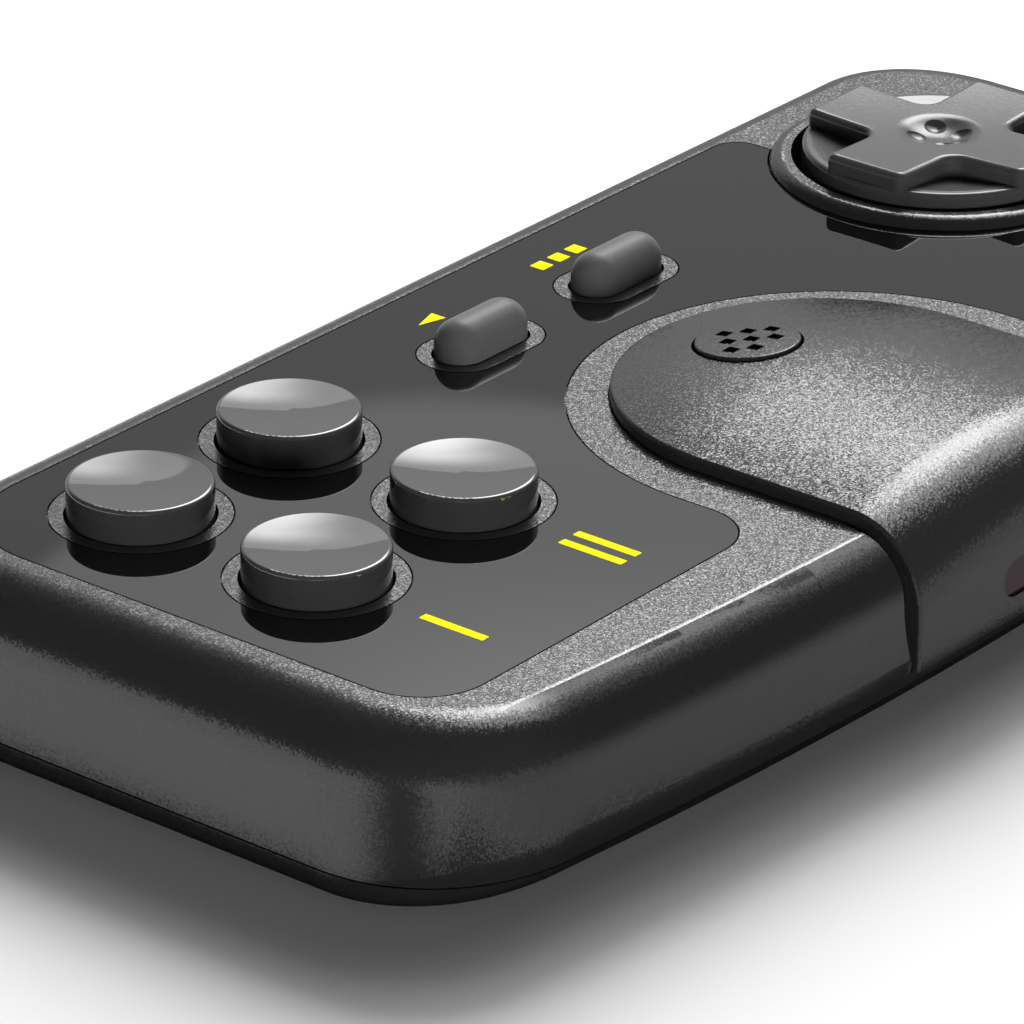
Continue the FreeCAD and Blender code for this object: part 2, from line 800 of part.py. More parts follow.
def make_dpad():
    """A dished disc and a cross in one piece, hollowed under its middle for the ball."""
    radius = size.dpad_radius
    rim_top = top + size.dpad_rim_height
    rim_in = radius - size.dpad_rim_width
    lowest = rim_top - size.dpad_bowl
    edge = size.dpad_rim_width / 2
    bend = edge * (1 - COS45)
    bowl = (rim_in**2 + size.dpad_bowl**2) / (2 * size.dpad_bowl)
    halfway = lowest + bowl - math.sqrt(bowl**2 - (rim_in / 2) ** 2)
    profile = [
        line((0, dpad_base), (size.dpad_flange, dpad_base)),
        line((size.dpad_flange, dpad_base), (size.dpad_flange, dpad_flange_top)),
        line((size.dpad_flange, dpad_flange_top), (radius, dpad_flange_top)),
        line((radius, dpad_flange_top), (radius, rim_top - edge)),
        arc((radius, rim_top - edge), (radius - bend, rim_top - bend), (radius - edge, rim_top)),
        line((radius - edge, rim_top), (rim_in, rim_top)),
        arc((rim_in, rim_top), (rim_in / 2, halfway), (0, lowest)),
        line((0, lowest), (0, dpad_base)),
    ]
    disc = turned("dpad_disc", profile)
    crest = top + size.arm_height
    half = size.arm_width / 2
    reach = size.arm_reach
    fork = size.arm_fork
    corners = []
    for turn in range(4):
        angle = math.radians(90 * turn)
        for x, y, rounding in ((reach, -half, half / 5), (reach, half, half / 5), (half, half, fork)):
            spun_x = x * math.cos(angle) - y * math.sin(angle)
            spun_y = x * math.sin(angle) + y * math.cos(angle)
            corners.append((spun_x, spun_y, rounding))
    cross = new_body("dpad_cross")
    pad(cross, sketch(cross, "XY_Plane", polygon(corners), dpad_flange_top), crest + 1 - dpad_flange_top)
    wide = size.dpad_radius
    hollow = (wide**2 + size.arm_hollow**2) / (2 * size.arm_hollow)
    dish = dent("arm_dish", hollow, 0, 0, crest - size.arm_hollow)
    rim_level = crest - size.arm_hollow + hollow - math.sqrt(hollow**2 - size.hub_radius**2)
    hub = (size.hub_radius**2 + size.hub_depth**2) / (2 * size.hub_depth)
    hub_dish = dent("hub_dish", hub, 0, 0, rim_level - size.hub_depth)
    dished = cut("dpad_dished", cross, dish, hub_dish)

    def radii(edge):
        if edge.BoundBox.ZMin < crest - size.arm_hollow - 1e-3:
            return None
        middle = edge_middle(edge)
        at_hub = math.hypot(middle.x, middle.y) < size.hub_radius + 1e-3
        return (size.hub_round, size.hub_round) if at_hub else (size.arm_edge, size.arm_edge)

    soft = round_edges("dpad_soft_cross", dished, radii)
    tools = [ball("dpad_cup", "ball_radius + ball_gap", 0, 0, pivot_level)]
    for turn in range(4):
        angle = math.radians(90 * turn + 45)
        x = size.petal_reach * math.cos(angle)
        y = size.petal_reach * math.sin(angle)
        level = rim_level - size.hub_depth + hub - math.sqrt(hub**2 - size.petal_reach**2)
        tools.append(dent(f"petal_{turn}", "petal_radius", x, y, level - size.petal_depth))
    return placed(cut("dpad", fuse("dpad_solid", disc, soft), *tools), *dpad_place)


def make_battery_cover():
    """The raised hood: crowned top, rounded back, runners below and a window opening behind."""
    plan = cover_plan("cover_outline", 0.0, "cover_foot", 2 * top)
    limit = casing_form("cover_limit", -size.cover_proud, "-cover_proud", 2 * top)
    raw = common("cover_raw", plan, limit, dome_block("cover_top", 0.0))
    side = size.cover_radius

    def back_radii(edge):
        middle = edge_middle(edge)
        at_back = middle.y > back and middle.z > top and abs(middle.x) < 1
        return (size.cover_back_round, size.cover_back_round) if at_back else None

    hood = round_edges("cover_hood", raw, back_radii)

    def rim_radii(edge):
        start, end = edge_ends(edge)
        middle = edge_middle(edge)
        centre = Vector(0, cover_centre, 0)
        on_sides = all(abs(abs(point.x) - side) < 1e-3 for point in (start, end, middle))
        flat_reach = math.hypot(middle.x - centre.x, middle.y - centre.y)
        on_nose = abs(flat_reach - side) < 1e-3 and middle.y < cover_centre
        on_top = abs(middle.z - dome_height(middle.x, middle.y)) < 1e-3
        on_back = middle.y > back - size.cover_back_round and middle.z > size.cover_foot + 1e-3
        chosen = (on_nose and on_top) or (on_sides and (on_top or on_back))
        return (size.cover_edge, size.cover_edge) if chosen else None

    soft = round_edges("cover_soft", hood, rim_radii)
    inset = size.cover_wall - size.cover_proud
    under = casing_form("cover_room", inset, "0", "casing_height - cover_bed + cover_gap")
    half = "pack_length / 2 - bay_gap"
    reach = (f"{release_y} + release_radius + release_flange + cover_wall", pack_back)
    hollow = block("cover_hollow_room", ("bay_gap - pack_length / 2", half), reach, (bed, f"{bed} + cover_hollow"))
    bore = cylinder("release_bore", "release_radius + release_gap", DEEP, 0, release_y, bed)
    shoulder = "release_radius + release_flange + release_gap"
    step = cylinder("release_step", shoulder, "cover_gap + release_shoulder", 0, release_y, bed)
    slot = window_block("window_slot", 0.0, 2 * DEEP)
    base = cut("cover_shell", soft, under, hollow, bore, step, slot)
    return fuse("battery_cover", base, *cover_runners())


def cover_runners():
    """Two L-shaped runners under the cover."""
    runners = []
    foot_top = ceiling - size.cover_gap
    foot_low = foot_top - size.runner_foot_height
    run = (runner_start, f"{runner_start} + runner_length")
    for number, side in enumerate((-1, 1), start=1):
        inner = side * size.runner_x
        web = sorted((inner, side * (size.runner_x + size.runner_web)))
        foot = sorted((inner, side * (size.runner_x + size.runner_web + size.runner_foot)))
        runners.append(block(f"runner_web_{number}", web, run, (foot_low, bed + 1)))
        runners.append(block(f"runner_foot_{number}", foot, run, (foot_low, foot_top)))
    return runners


def window_block(name, shrink, depth):
    """The window's outline, seen from behind, as deep as asked from the cover's inner face."""
    owner = new_body(name)
    outline = stadium(size.window_length - 2 * shrink, size.window_height - 2 * shrink)
    pad(owner, sketch(owner, "XZ_Plane", outline), str(depth))
    wall_inside = back - (size.cover_wall - size.cover_proud)
    owner.Placement = Placement(Vector(0, wall_inside, 0), Rotation(Vector(0, 0, 1), 180))
    return bind(owner, z="casing_height - window_drop")


def make_signal_window():
    return window_block("signal_window", size.window_gap, size.window_thickness)


def make_cover_release():
    """The round press pad: its top runs with the cover, and eight square dimples give grip."""
    flange_low = bed + size.release_shoulder - size.release_flange_thickness
    stem = cylinder("release_stem", "release_radius", top, 0, release_y, flange_low)
    crowned = common("release_crowned", stem, dome_block("release_top", size.release_height))

    def radii(edge):
        high = edge.BoundBox.ZMin > top + size.cover_rise
        return (size.release_height / 2, size.release_height / 2) if high else None

    soft = round_edges("release_soft", crowned, radii)
    radius = "release_radius + release_flange"
    flange = cylinder("release_flange", radius, "release_flange_thickness", 0, release_y, flange_low)
    dimples = []
    for across in (-1, 0, 1):
        for along in (-1, 0, 1):
            if across + along == 2:
                continue
            x = (across - along) * size.dimple_pitch
            y = release_y + size.dimple_shift + (across + along) * size.dimple_pitch
            level = dome_height(x, y, size.release_height) - size.dimple_depth
            dimple = doc.addObject("Part::Box", f"dimple_{len(dimples) + 1}")
            bind(dimple, Length="dimple_size", Width="dimple_size", Height="2 * dimple_depth")
            bind(dimple, x=f"{x} - dimple_size / 2", y=f"{y} - dimple_size / 2", z=level)
            dimples.append(dimple)
    return cut("cover_release", fuse("release_solid", soft, flange), *dimples)


def make_release_spring():
    """A rubber ring that pushes the press pad up."""
    item = doc.addObject("Part::Torus", "release_spring")
    bind(item, Radius1="release_radius - spring_wire", Radius2="spring_wire")
    return bind(item, x=0, y=release_y, z="casing_height - cover_bed + cover_gap + spring_wire")


# Switch sheets, discs and the board


def dome(name, radius, crest, roof_level, x, y):
    """A hollow rubber dome on a switch sheet: its solid and the room inside it."""
    sheet_top = board_top + size.sheet_thickness
    height = roof_level - sheet_top
    solid = cone(name, radius, crest, height, x, y, sheet_top)
    room_height = roof_level - size.dome_wall - board_top
    room = cone(name + "_room", radius - size.dome_wall, crest - size.dome_wall / 2, room_height, x, y, board_top)
    return solid, room


def make_membrane(name, base, domes):
    solids = [solid for solid, room in domes]
    rooms = [room for solid, room in domes]
    return cut(name, fuse(name + "_solid", base, *solids), *rooms)


def make_membranes():
    """Three switch sheets: under the action buttons, the pills and the direction pad."""
    half = button_side + size.dome_radius + size.dome_margin
    square = [
        (size.buttons_x + x * half, buttons_y + y * half, size.sheet_corner)
        for x, y in ((-1, -1), (1, -1), (1, 1), (-1, 1))
    ]
    face_base = new_body("face_sheet")
    pad(face_base, sketch(face_base, "XY_Plane", polygon(square), board_top), "sheet_thickness")
    face_domes = [
        dome(f"face_dome_{number}", size.dome_radius, size.dome_top, dome_roof, x, y)
        for number, (x, y) in enumerate(button_places, start=1)
    ]
    face = make_membrane("face_button_membrane", face_base, face_domes)

    long = size.pill_spacing + 2 * size.small_dome_radius
    tall = 2 * size.small_dome_radius + size.dome_margin
    strip = new_body("pill_sheet")
    pad(strip, sketch(strip, "XY_Plane", stadium(long + size.dome_margin, tall), board_top), "sheet_thickness")
    placed(strip, size.pills_x, pills_y)
    pill_domes = [
        dome(f"pill_dome_{number}", size.small_dome_radius, size.small_dome_top, dome_roof, x, y)
        for number, (x, y) in enumerate(pill_places, start=1)
    ]
    pills = make_membrane("pill_button_membrane", strip, pill_domes)

    outer = "dpad_dome_reach + small_dome_radius + dome_margin / 2"
    ring = tube("dpad_sheet", outer, "seat_radius + dome_margin", "sheet_thickness", *dpad_place, board_top)
    dpad_domes = []
    for turn in range(4):
        x = size.dpad_x + size.dpad_dome_reach * math.cos(math.radians(90 * turn))
        y = dpad_y + size.dpad_dome_reach * math.sin(math.radians(90 * turn))
        radius = size.small_dome_radius
        dpad_domes.append(dome(f"dpad_dome_{turn}", radius, size.small_dome_top, dpad_dome_roof, x, y))
    return [face, pills, make_membrane("dpad_membrane", ring, dpad_domes)]


def make_contact(name, roof_level, x, y):
    """A carbon disc that hangs inside a dome, under its roof."""
    level = roof_level - size.dome_wall - size.disc_thickness
    return cylinder(name, "disc_radius", "disc_thickness", x, y, level)


def make_contacts():
    names = [f"face_contact_{number}" for number in range(1, 5)]
    items = [make_contact(name, dome_roof, *place) for name, place in zip(names, button_places)]
    for name, place in zip(("left_pill_contact", "right_pill_contact"), pill_places):
        items.append(make_contact(name, dome_roof, *place))
    discs = []
    for turn in range(4):
        x = size.dpad_x + size.dpad_dome_reach * math.cos(math.radians(90 * turn))
        y = dpad_y + size.dpad_dome_reach * math.sin(math.radians(90 * turn))
        discs.append(make_contact(f"dpad_contact_{turn}", dpad_dome_roof, x, y))
    items.append(group("dpad_contacts", *discs))
    return items


def make_main_board():
    """The circuit board, open round the pack's bay, the posts and the ball's seat."""
    owner = new_body("board_blank")
    outline = casing_outline(size.board_inset)
    pad(owner, sketch(owner, "XY_Plane", outline, board_level), "board_thickness")
    side = size.pack_length / 2 + size.bay_gap + size.rib + size.board_gap
    near = pack_front - size.bay_gap - size.board_gap
    far = pack_back + size.bay_gap + size.rib + size.board_gap
    window = [(-side, near, 1.0), (side, near, 1.0), (side, far, 1.0), (-side, far, 1.0)]
    pocket(owner, sketch(owner, "XY_Plane", polygon(window), board_level))
    holes = [cylinder("seat_clearance", "seat_radius + board_gap", DEEP, *dpad_place, 0)]
    for number, (x, y) in enumerate(screw_places, start=1):
        holes.append(cylinder(f"post_clearance_{number}", "post_radius + board_gap", DEEP, x, y, 0))
    return cut("main_board", owner, *holes)


def make_board_pieces():
    """The chip, the small components and the lamps, all soldered to the board."""
    sheet_edge = size.buttons_x - button_side - size.dome_radius - size.dome_margin
    chip_end = sheet_edge - size.chip_margin
    chip_middle = pack_front - 11.5
    chip = block(
        "control_chip",
        (f"{chip_end} - chip_size", chip_end),
        (f"{chip_middle} - chip_size / 2", f"{chip_middle} + chip_size / 2"),
        (board_top, f"{board_top} + chip_height"),
    )
    small = []
    places = [
        (13.0, pack_front - 8.0, 3.2, 1.6, 1.2),
        (13.0, pack_front - 10.5, 2.0, 1.25, 0.8),
        (8.5, pack_front - 10.5, 2.0, 1.25, 0.8),
        (6.0, pack_front - 8.0, 5.0, 3.2, 1.3),
        (-2.0, pack_front - 8.0, 3.2, 1.6, 1.2),
        (-8.0, pack_front - 9.0, 3.0, 3.0, 1.1),
        (-14.0, pack_front - 9.0, 2.0, 1.25, 0.8),
        (-19.0, pack_front - 9.0, 3.2, 1.6, 1.2),
        (-20.0, front + 9.9, 3.2, 1.6, 1.2),
        (24.0, pack_front + 0.5, 3.2, 2.5, 1.6),
        (-24.0, pack_front + 0.5, 3.2, 2.5, 1.6),
    ]
    for number, (x, y, long, wide, tall) in enumerate(places, start=1):
        xs = (x - long / 2, x + long / 2)
        ys = (y - wide / 2, y + wide / 2)
        small.append(block(f"component_{number}", xs, ys, (board_top, board_top + tall)))
    lamps = []
    edge = back - size.board_inset
    for number, place in enumerate((-1, 0, 1), start=1):
        x = place * size.lamp_pitch
        xs = (f"{x} - lamp_width / 2", f"{x} + lamp_width / 2")
        body = block(f"lamp_body_{number}", xs, (f"{edge} - lamp_depth", edge), (board_top, f"{board_top} + lamp_height"))
        bead = ball(f"lamp_bead_{number}", "lamp_height / 2", x, edge, f"{board_top} + lamp_height / 2")
        lamps.append(fuse(f"lamp_{number}", body, bead))
    return [chip, group("board_components", *small), group("signal_lamps", *lamps)]


def make_battery_pieces():
    """The rechargeable pack on the floor of its bay, and the leaf contacts at its front."""
    pack_body = new_body("battery_pack")
    half = size.pack_length / 2
    corners = [(-half, pack_front), (half, pack_front), (half, pack_back), (-half, pack_back)]
    outline = polygon([(x, y, 1.2) for x, y in corners])
    pad(pack_body, sketch(pack_body, "XY_Plane", outline, "floor"), "pack_height")
    leaves = []
    foot_start = f"{pack_front} - bay_gap - board_gap - contact_foot"
    for number, place in enumerate((-1, 0, 1), start=1):
        x = place * size.contact_pitch
        xs = (f"{x} - contact_width / 2", f"{x} + contact_width / 2")
        foot = block(f"contact_foot_{number}", xs, (foot_start, pack_front), (board_top, f"{board_top} + contact_leaf"))
        rise = (f"{pack_front} - contact_leaf", pack_front)
        leaf = block(f"contact_leaf_{number}", xs, rise, (board_top, "floor + pack_height - 1"))
        leaves.append(fuse(f"contact_{number}", foot, leaf))
    return [pack_body, group("battery_contacts", *leaves)]


def make_screws():
    """Five cross-head screws, all in one node."""
    screws = []
    for number, (x, y) in enumerate(screw_places, start=1):
        head = cylinder(f"screw_head_{number}", "screw_head", "screw_head_height", x, y, "screw_sink")
        seat = "screw_sink + screw_head_height"
        shank = cylinder(f"screw_shank_{number}", "screw_radius", "screw_length", x, y, seat)
        arm = size.screw_head * 0.62
        thin = size.screw_head * 0.14
        depth = (0, "screw_sink + screw_head_height / 2")
        bars = [
            block(f"drive_x_{number}", (x - arm, x + arm), (y - thin, y + thin), depth),
            block(f"drive_y_{number}", (x - thin, x + thin), (y - arm, y + arm), depth),
        ]
        screws.append(cut(f"screw_{number}", fuse(f"screw_blank_{number}", head, shank), *bars))
    return group("casing_screws", *screws)


def make_ball():
    return ball("dpad_pivot_ball", "ball_radius", *dpad_place, pivot_level)


# The whole controller

nodes = make_casing()
nodes.append(make_face_plate())
nodes += [make_face_button(number, place) for number, place in enumerate(button_places, start=1)]
nodes.append(make_pill_button("left_pill_button", pill_places[0]))
nodes.append(make_pill_button("right_pill_button", pill_places[1]))
nodes += [make_dpad(), make_ball()]
nodes += [make_battery_cover(), make_signal_window(), make_cover_release(), make_release_spring()]
nodes += make_membranes()
nodes += make_contacts()
nodes.append(make_main_board())
nodes += make_board_pieces()
nodes += make_battery_pieces()
nodes.append(make_screws())
doc.recompute()

for item in doc.Objects:
    if "Invalid" in item.State or "Error" in item.State:
        raise RuntimeError(f"{item.Name} did not build: {item.State}")
for node in nodes:
    if node.Shape.isNull() or not node.Shape.isValid() or not node.Shape.Solids:
        raise RuntimeError(f"{node.Name} has no valid solid")

os.makedirs("parts", exist_ok=True)
for node in nodes:
    node.Label = node.Name
    node.Shape.exportStep(f"parts/{node.Label}.step")
    box = node.Shape.BoundBox
    print(
        f"{node.Label}: {len(node.Shape.Solids)} solids, {node.Shape.Volume:.1f} mm3, "
        f"z {box.ZMin:.2f} to {box.ZMax:.2f}"
    )
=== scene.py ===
"""The looks of a flat two-handed gamepad: its finishes, printed marks, floor, lights and camera."""

import math

import bpy
import bmesh
from mathutils import Matrix, Vector


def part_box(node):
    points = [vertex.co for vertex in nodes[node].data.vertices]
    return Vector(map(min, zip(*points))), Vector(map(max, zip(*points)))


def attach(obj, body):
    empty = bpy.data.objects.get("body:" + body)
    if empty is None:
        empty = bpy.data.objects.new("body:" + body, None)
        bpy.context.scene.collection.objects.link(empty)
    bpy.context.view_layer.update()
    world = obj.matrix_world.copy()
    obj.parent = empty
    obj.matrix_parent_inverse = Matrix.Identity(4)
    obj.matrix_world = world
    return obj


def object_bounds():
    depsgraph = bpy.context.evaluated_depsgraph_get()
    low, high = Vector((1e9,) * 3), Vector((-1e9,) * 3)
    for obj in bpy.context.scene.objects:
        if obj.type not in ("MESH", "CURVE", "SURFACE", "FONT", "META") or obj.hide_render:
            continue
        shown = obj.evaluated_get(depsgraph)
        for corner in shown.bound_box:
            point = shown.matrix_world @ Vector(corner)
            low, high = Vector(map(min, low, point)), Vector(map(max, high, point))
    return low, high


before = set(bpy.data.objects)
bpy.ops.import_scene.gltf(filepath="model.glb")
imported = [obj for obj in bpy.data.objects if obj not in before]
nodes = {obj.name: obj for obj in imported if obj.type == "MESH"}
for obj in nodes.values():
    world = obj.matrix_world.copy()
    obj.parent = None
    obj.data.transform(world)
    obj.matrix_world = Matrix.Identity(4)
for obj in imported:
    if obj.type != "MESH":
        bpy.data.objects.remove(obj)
cad_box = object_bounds()

MM = 0.001
PLATE_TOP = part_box("face_plate")[1].z


# Camera: a long lens that looks along the pad from its right back corner

EYE = Vector((400.74, 292.58, 237.15)) * MM
AIM = Vector((34.35, 4.0, 16.0)) * MM
ROLL = math.radians(0.62)
LENS = 226.2
SENSOR = 36.0
CLIP = (0.01, 20.0)
BEHIND = Vector((AIM.x - EYE.x, AIM.y - EYE.y, 0)).normalized()


def facing(direction):
    """The turn that points an object's minus Z along a direction."""
    return direction.to_track_quat("-Z", "Y").to_matrix().to_4x4()


def place_object(name, data, matrix=None):
    item = bpy.data.objects.new(name, data)
    if matrix is not None:
        item.matrix_world = matrix
    bpy.context.scene.collection.objects.link(item)
    return item


def add_camera():
    data = bpy.data.cameras.new("camera")
    data.lens = LENS
    data.sensor_width = SENSOR
    data.clip_start, data.clip_end = CLIP
    pose = Matrix.Translation(EYE) @ facing(AIM - EYE) @ Matrix.Rotation(ROLL, 4, "Z")
    bpy.context.scene.camera = place_object("camera", data, pose)


# Node trees


def add(tree, kind, inputs=None, **settings):
    """A node with its settings, and with a number or another node's socket on each named input."""
    item = tree.nodes.new(kind)
    for key, value in settings.items():
        setattr(item, key, value)
    for key, value in (inputs or {}).items():
        socket = item.inputs[key]
        if isinstance(value, bpy.types.NodeSocket):
            tree.links.new(value, socket)
        else:
            socket.default_value = value
    return item


def maths(tree, operation, *values):
    return add(tree, "ShaderNodeMath", dict(enumerate(values)), operation=operation).outputs[0]


def product(tree, first, *others):
    for other in others:
        first = maths(tree, "MULTIPLY", first, other)
    return first


def total(tree, first, *others):
    for other in others:
        first = maths(tree, "ADD", first, other)
    return first


def vector_maths(tree, operation, *values, output="Vector"):
    inputs = dict(enumerate(values))
    return add(tree, "ShaderNodeVectorMath", inputs, operation=operation).outputs[output]


def ramp(tree, value, band, out=(0, 1)):
    """A smooth step of a value over a band, from one output to another."""
    inputs = {"Value": value, "From Min": band[0], "From Max": band[1], "To Min": out[0], "To Max": out[1]}
    return add(tree, "ShaderNodeMapRange", inputs, interpolation_type="SMOOTHSTEP").outputs["Result"]


def object_place(tree):
    return add(tree, "ShaderNodeTexCoord").outputs["Object"]


def split(tree, vector):
    """A vector's X, Y and Z."""
    return add(tree, "ShaderNodeSeparateXYZ", {"Vector": vector}).outputs


def noise(tree, place, scale, detail=2.0, rough=0.5):
    inputs = {"Vector": place, "Scale": scale, "Detail": detail, "Roughness": rough}
    return add(tree, "ShaderNodeTexNoise", inputs).outputs["Fac"]


def bump(tree, shader, height, depth, strength=1.0):
    item = add(tree, "ShaderNodeBump", {"Height": height, "Distance": depth, "Strength": strength})
    tree.links.new(item.outputs["Normal"], shader.inputs["Normal"])


def blend_colours(tree, factor, first, second):
    inputs = {"Factor": factor, "A": first, "B": second}
    return add(tree, "ShaderNodeMix", inputs, data_type="RGBA").outputs["Result"]


def shade(colour, factor, lift=0.0):
    """A darker or lighter version of a colour."""
    return (*(part * factor + lift for part in colour), 1)


def tint(tree, shader, factor, dark, light):
    """The base colour wanders between two colours. Gives the socket it comes from."""
    colour = blend_colours(tree, factor, dark, light)
    tree.links.new(colour, shader.inputs["Base Color"])
    return colour


def surface(name, **settings):
    """A material with one principled shader. Gives its tree, the shader and the place in millimetres."""
    material = bpy.data.materials.new(name)
    material.use_nodes = True
    tree = material.node_tree
    shader = tree.nodes["Principled BSDF"]
    for key, value in settings.items():
        shader.inputs[key.replace("_", " ")].default_value = value
    inputs = {"Vector": object_place(tree), "Scale": (1 / MM, 1 / MM, 1 / MM)}
    return material, tree, shader, add(tree, "ShaderNodeMapping", inputs).outputs["Vector"]


# Finishes. Places and widths are in millimetres, and noise scales are features per millimetre

NOISE_BAND = (0.3, 0.7)
GRAIN_SPREAD = (0.85, 1.15)
PATCH_SCALE = 0.15
PATCH_SPREAD = 0.015

# Where the casing's top starts to round over to the back: a painted highlight band of lighter grey, and
# duller gloss on the rounding below it
EDGE_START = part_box("top_casing")[1].y / MM - 4.45
EDGE_BOW = 546.0
PAINTED_HIGHLIGHT_WIDTH = (0.08, 0.25)
EDGE_ENDS = (55, 66)
EDGE_FLOOR = PLATE_TOP / MM - 0.1
PAINTED_HIGHLIGHT_GREY = (0.33, 0.33, 0.33, 1)
DULL_START = (0.05, 0.25)
DULL_FOOT = (11.0, 13.5)
DULL_LEVEL = 0.1

FAINT = 0.3
WAVE_SCALE = 0.04
WAVE_DEPTH = 0.04 * MM
DUST_SCALE = 2.0
DUST_BAND = (0.6, 0.8)
DUST_GAIN = 1.2
DUST_LIFT = 0.0004

PLAIN_SCALE = 3.0
PLAIN_DEPTH = 0.004 * MM
PLAIN_SPREAD = (0.9, 1.1)
METAL_SCALE = 6.0
METAL_DEPTH = 0.003 * MM
METAL_SPREAD = (0.85, 1.0)


def painted_edge_highlight(tree, place):
    """A painted highlight, a lighter grey band where the top starts to round over to the back, and how dull
    the rounding below it is.
    """
    across = split(tree, place)
    bow = maths(tree, "DIVIDE", product(tree, across["X"], across["X"]), 2 * EDGE_BOW)
    off = maths(tree, "SUBTRACT", total(tree, across["Y"], bow), EDGE_START)
    near = ramp(tree, maths(tree, "ABSOLUTE", off), PAINTED_HIGHLIGHT_WIDTH, (1, 0))
    along = ramp(tree, maths(tree, "ABSOLUTE", across["X"]), EDGE_ENDS, (1, 0))
    high = maths(tree, "GREATER_THAN", across["Z"], EDGE_FLOOR)
    rounding = product(tree, ramp(tree, off, DULL_START), ramp(tree, across["Z"], DULL_FOOT), along)
    return product(tree, near, along, high), ramp(tree, rounding, (0, 1), (1, DULL_LEVEL))


def grained_plastic(name, colour, grain, tip, roughness, with_painted_highlight=False):
    """Moulded plastic with the fine etched grain of its tool: every grain tips its own way and glints."""
    material, tree, shader, place = surface(name)
    cells = add(tree, "ShaderNodeTexVoronoi", {"Vector": place, "Scale": grain}).outputs["Color"]
    centred = vector_maths(tree, "SUBTRACT", cells, (0.5, 0.5, 0.5))
    lean = vector_maths(tree, "MULTIPLY", centred, (tip, tip, tip))
    tipped = vector_maths(tree, "ADD", add(tree, "ShaderNodeNewGeometry").outputs["Normal"], lean)
    tree.links.new(vector_maths(tree, "NORMALIZE", tipped), shader.inputs["Normal"])
    fine = noise(tree, place, grain, 1.0)
    shades = [shade(colour, factor) for factor in GRAIN_SPREAD]
    base = tint(tree, shader, ramp(tree, fine, NOISE_BAND), *shades)
    gloss = ramp(tree, fine, NOISE_BAND, GRAIN_SPREAD)
    # Paints a highlight band of lighter grey into the base colour and dulls the gloss of the rounding below
    # it
    if with_painted_highlight:
        painted_highlight, dull = painted_edge_highlight(tree, place)
        tree.links.new(blend_colours(tree, painted_highlight, base, PAINTED_HIGHLIGHT_GREY), shader.inputs["Base Color"])
        gloss = product(tree, gloss, dull)
    tree.links.new(gloss, shader.inputs["Specular IOR Level"])
    patches = noise(tree, place, PATCH_SCALE)
    spread = (roughness - PATCH_SPREAD, roughness + PATCH_SPREAD)
    tree.links.new(ramp(tree, patches, NOISE_BAND, spread), shader.inputs["Roughness"])
    return material


def gloss_plastic(name, colour, roughness):
    """Polished plastic: almost a mirror, with the faint waviness of a moulded sheet and a little dust."""
    material, tree, shader, place = surface(name, Roughness=roughness)
    bump(tree, shader, noise(tree, place, WAVE_SCALE, 1.0), WAVE_DEPTH, FAINT)
    dust = noise(tree, place, DUST_SCALE, 4.0, 0.7)
    tint(tree, shader, ramp(tree, dust, DUST_BAND), shade(colour, 1), shade(colour, DUST_GAIN, DUST_LIFT))
    return material


def plain_plastic(name, colour, roughness, depth=PLAIN_DEPTH, level=0.5, index=1.5):
    material, tree, shader, place = surface(name, Roughness=roughness, Specular_IOR_Level=level, IOR=index)
    fine = noise(tree, place, PLAIN_SCALE)
    bump(tree, shader, fine, depth)
    tint(tree, shader, fine, *(shade(colour, factor) for factor in PLAIN_SPREAD))
    return material


def metal(name, colour, roughness):
    material, tree, shader, place = surface(name, Roughness=roughness, Metallic=1.0)
    fine = noise(tree, place, METAL_SCALE, 3.0)
    bump(tree, shader, fine, METAL_DEPTH)
    tint(tree, shader, fine, *(shade(colour, factor) for factor in METAL_SPREAD))
    return material


def dress(material, *names):
    for name in names:
        slots = nodes[name].data.materials
        slots.clear()
        slots.append(material)


def dress_outside():
    grained = {"colour": (0.016, 0.016, 0.0165), "grain": 8.0, "roughness": 0.2}
    # The casing gets the painted highlight band along the start of its back rounding
    dress(grained_plastic("casing_plastic", tip=0.14, with_painted_highlight=True, **grained), "top_casing", "bottom_casing")
    dress(grained_plastic("cover_plastic", tip=0.17, **grained), "battery_cover", "cover_release")
    dress(gloss_plastic("plate_gloss", (0.0012, 0.0012, 0.0013), 0.02), "face_plate")
    dress(gloss_plastic("window_dark", (0.02, 0.006, 0.009), 0.05), "signal_window")
    polish = {"depth": 0.0002 * MM, "level": 0.75, "index": 1.9}
    buttons = plain_plastic("button_gloss", (0.042, 0.042, 0.043), 0.03, **polish)
    dress(buttons, *(n for n in nodes if n.startswith("face_button_") and n[-1].isdigit()))
    pills = plain_plastic("button_rubber", (0.128, 0.128, 0.129), 0.33, level=0.14)
    dress(pills, "left_pill_button", "right_pill_button")
    dress(plain_plastic("pad_plastic", (0.06, 0.06, 0.061), 0.2, level=0.75), "dpad")


def dress_inside():
    dress(metal("pivot_steel", (0.62, 0.62, 0.64), 0.2), "dpad_pivot_ball")
    dress(metal("screw_steel", (0.3, 0.3, 0.31), 0.35), "casing_screws")
    dress(metal("contact_metal", (0.78, 0.66, 0.4), 0.3), "battery_contacts")
    dress(plain_plastic("spring_rubber", (0.2, 0.2, 0.2), 0.6), "release_spring")
    sheets = plain_plastic("membrane_rubber", (0.62, 0.62, 0.6), 0.55)
    dress(sheets, *(n for n in nodes if n.endswith("membrane")))
    carbon = plain_plastic("contact_carbon", (0.03, 0.03, 0.03), 0.6)
    dress(carbon, *(n for n in nodes if "contact" in n and n != "battery_contacts"))
    dress(plain_plastic("board_laminate", (0.06, 0.24, 0.12), 0.35), "main_board")
    dress(plain_plastic("chip_resin", (0.03, 0.03, 0.03), 0.5), "control_chip")
    dress(plain_plastic("component_body", (0.3, 0.26, 0.2), 0.45), "board_components")
    dress(gloss_plastic("lamp_resin", (0.06, 0.04, 0.1), 0.1), "signal_lamps")
    dress(plain_plastic("pack_sleeve", (0.12, 0.2, 0.42), 0.3), "battery_pack")


# Printed marks, in millimetres

